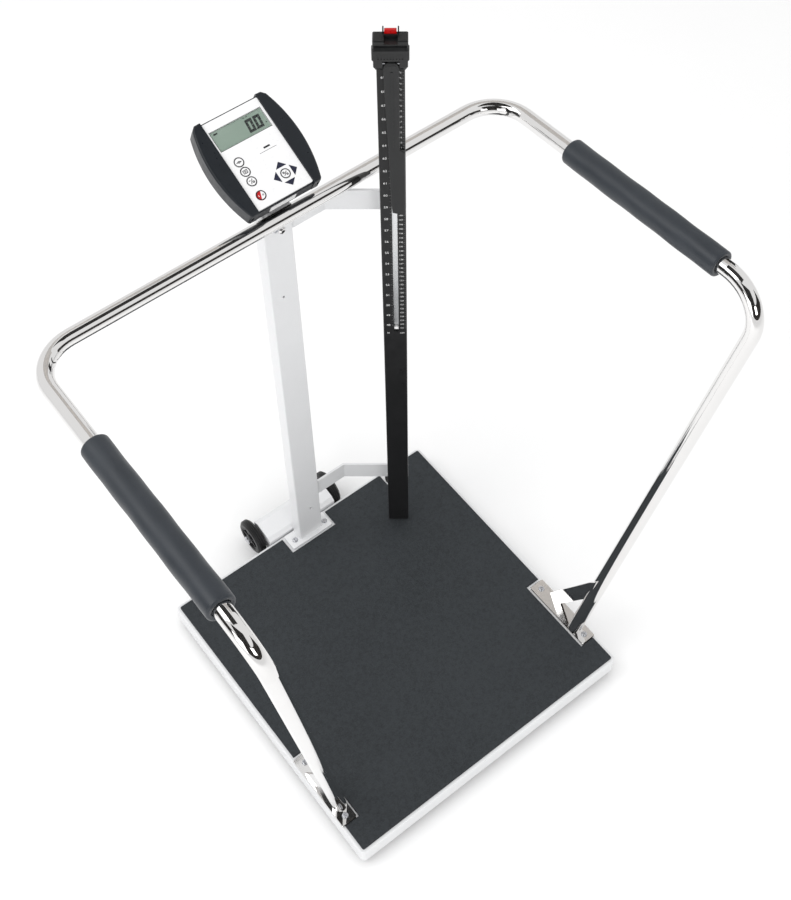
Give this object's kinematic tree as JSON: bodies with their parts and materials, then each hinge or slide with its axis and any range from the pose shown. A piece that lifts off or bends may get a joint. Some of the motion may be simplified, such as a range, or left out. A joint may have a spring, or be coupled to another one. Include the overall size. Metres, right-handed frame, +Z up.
{
  "type": "stand-on platform weighing scale with handrail and height rod",
  "caption": "Digital stand-on scale: low platform with rubber mat, wrap-around chrome handrail, column with tilting indicator, telescoping height rod with folding paddle, rear transport wheels.",
  "frame": {"origin": "on the floor under the middle of the platform", "axes": "+Z up, +Y from the open front towards the column, +X to the right of a person who stands on the platform and faces the column"},
  "size_m": [0.8701, 0.6964, 1.2854],
  "materials": {
    "white_paint": "satin powder coat",
    "mat_rubber": "fine matt texture",
    "frame_steel": "semi-matt",
    "cell_aluminium": "machined",
    "foot_rubber": "matt",
    "chrome": "polished",
    "screw_steel": "bright zinc",
    "grip_foam": "satin skin",
    "black_anodised": "satin black",
    "bright_bar": "drawn",
    "black_plastic": "fine grain",
    "white_plastic": "smooth",
    "red_plastic": "gloss",
    "tyre": "matt",
    "hub_black": "smooth",
    "housing_dark": "fine grain",
    "bumper_dark": "satin",
    "bezel_white": "printed film",
    "lcd_glass": "gloss",
    "lcd_panel": "reflective grey-green",
    "board_green": "solder mask",
    "key_white": "printed film",
    "key_navy": "printed film",
    "key_red": "printed film",
    "vial": "gloss"
  },
  "bodies": {
    "base": {"platform_cover": "white_paint", "platform_mat": "mat_rubber", "sub_frame": "frame_steel", "load_cells": "cell_aluminium", "level_holder": "black_plastic", "level_vial": "vial", "column_plate": "white_paint", "column_tube": "white_paint", "column_cap": "black_plastic", "plate_screws": "screw_steel", "rail_saddle": "white_paint", "handrail_tube": "chrome", "grip_left": "grip_foam", "grip_right": "grip_foam", "foot_plate_left": "chrome", "foot_plate_right": "chrome", "rod_arm_lower": "white_paint", "rod_arm_upper": "white_paint", "rod_spacers": "white_paint", "arm_screws": "screw_steel", "rod_outer": "black_anodised", "rod_foot_cap": "black_plastic", "rod_top_bush": "black_plastic", "wheel_bracket": "white_paint", "wheel_axle": "screw_steel", "tilt_bracket": "black_anodised", "tilt_pin": "screw_steel", "tilt_knobs": "black_plastic"},
    "inner_rod": {"rod_inner_bar": "bright_bar", "rod_slide_block": "black_plastic", "rod_pointer": "white_plastic", "head_block": "black_plastic", "paddle_pin": "screw_steel"},
    "paddle": {"head_paddle": "black_plastic"},
    "release": {"release_tab": "red_plastic"},
    "wheel_left": {"wheel_hub_left": "hub_black", "wheel_tyre_left": "tyre"},
    "wheel_right": {"wheel_hub_right": "hub_black", "wheel_tyre_right": "tyre"},
    "indicator": {"indicator_housing": "housing_dark", "indicator_bezel": "bezel_white", "display_window": "lcd_glass", "display_module": "lcd_panel", "circuit_board": "board_green", "bumper_left": "bumper_dark", "bumper_right": "bumper_dark", "rating_plate": "white_plastic"},
    "foot_front_left": {"levelling_foot_front_left": "foot_rubber"},
    "foot_front_right": {"levelling_foot_front_right": "foot_rubber"},
    "foot_back_left": {"levelling_foot_back_left": "foot_rubber"},
    "foot_back_right": {"levelling_foot_back_right": "foot_rubber"},
    "button_upper": {"key_upper": "key_white"},
    "button_middle": {"key_middle": "key_white"},
    "button_lower": {"key_lower": "key_white"},
    "button_power": {"key_power": "key_red"},
    "button_enter": {"key_enter": "key_white"},
    "button_arrows": {"key_arrows": "key_navy"}
  },
  "joints": [
    {"name": "rod_extend", "type": "slide", "parent": "base", "child": "inner_rod", "axis": [0, 0, 1], "range_m": [0, 0.54]},
    {"name": "paddle_fold", "type": "hinge", "parent": "inner_rod", "child": "paddle", "pos_m": [0.15149, 0.17589, 1.2395], "axis": [-0.7869, 0.617, 0], "range_deg": [0, 90]},
    {"name": "release_press", "type": "slide", "parent": "inner_rod", "child": "release", "axis": [0, 0, -1], "range_m": [0, 0.004], "stiffness_N_per_m": 700, "springref_m": -0.001},
    {"name": "wheel_left_spin", "type": "hinge", "parent": "base", "child": "wheel_left", "pos_m": [-0.0855, 0.334, 0.041], "axis": [1, 0, 0], "continuous": true},
    {"name": "wheel_right_spin", "type": "hinge", "parent": "base", "child": "wheel_right", "pos_m": [0.0935, 0.334, 0.041], "axis": [1, 0, 0], "continuous": true},
    {"name": "indicator_tilt", "type": "hinge", "parent": "base", "child": "indicator", "pos_m": [0.004, 0.276, 1.004], "axis": [1, 0, 0], "range_deg": [-24, 8]},
    {"name": "foot_front_left_height", "type": "slide", "parent": "base", "child": "foot_front_left", "axis": [0, 0, -1], "range_m": [0, 0.005]},
    {"name": "foot_front_right_height", "type": "slide", "parent": "base", "child": "foot_front_right", "axis": [0, 0, -1], "range_m": [0, 0.005]},
    {"name": "foot_back_left_height", "type": "slide", "parent": "base", "child": "foot_back_left", "axis": [0, 0, -1], "range_m": [0, 0.005]},
    {"name": "foot_back_right_height", "type": "slide", "parent": "base", "child": "foot_back_right", "axis": [0, 0, -1], "range_m": [0, 0.005]},
    {"name": "upper_press", "type": "slide", "parent": "indicator", "child": "button_upper", "axis": [0, 0.4305, -0.9026], "range_m": [0, 0.001], "stiffness_N_per_m": 900, "springref_m": -0.0005},
    {"name": "middle_press", "type": "slide", "parent": "indicator", "child": "button_middle", "axis": [0, 0.4305, -0.9026], "range_m": [0, 0.001], "stiffness_N_per_m": 900, "springref_m": -0.0005},
    {"name": "lower_press", "type": "slide", "parent": "indicator", "child": "button_lower", "axis": [0, 0.4305, -0.9026], "range_m": [0, 0.001], "stiffness_N_per_m": 900, "springref_m": -0.0005},
    {"name": "power_press", "type": "slide", "parent": "indicator", "child": "button_power", "axis": [0, 0.4305, -0.9026], "range_m": [0, 0.001], "stiffness_N_per_m": 900, "springref_m": -0.0005},
    {"name": "enter_press", "type": "slide", "parent": "indicator", "child": "button_enter", "axis": [0, 0.4305, -0.9026], "range_m": [0, 0.001], "stiffness_N_per_m": 900, "springref_m": -0.0005},
    {"name": "arrows_press", "type": "slide", "parent": "indicator", "child": "button_arrows", "axis": [0, 0.4305, -0.9026], "range_m": [0, 0.001], "stiffness_N_per_m": 900, "springref_m": -0.0005}
  ]
}
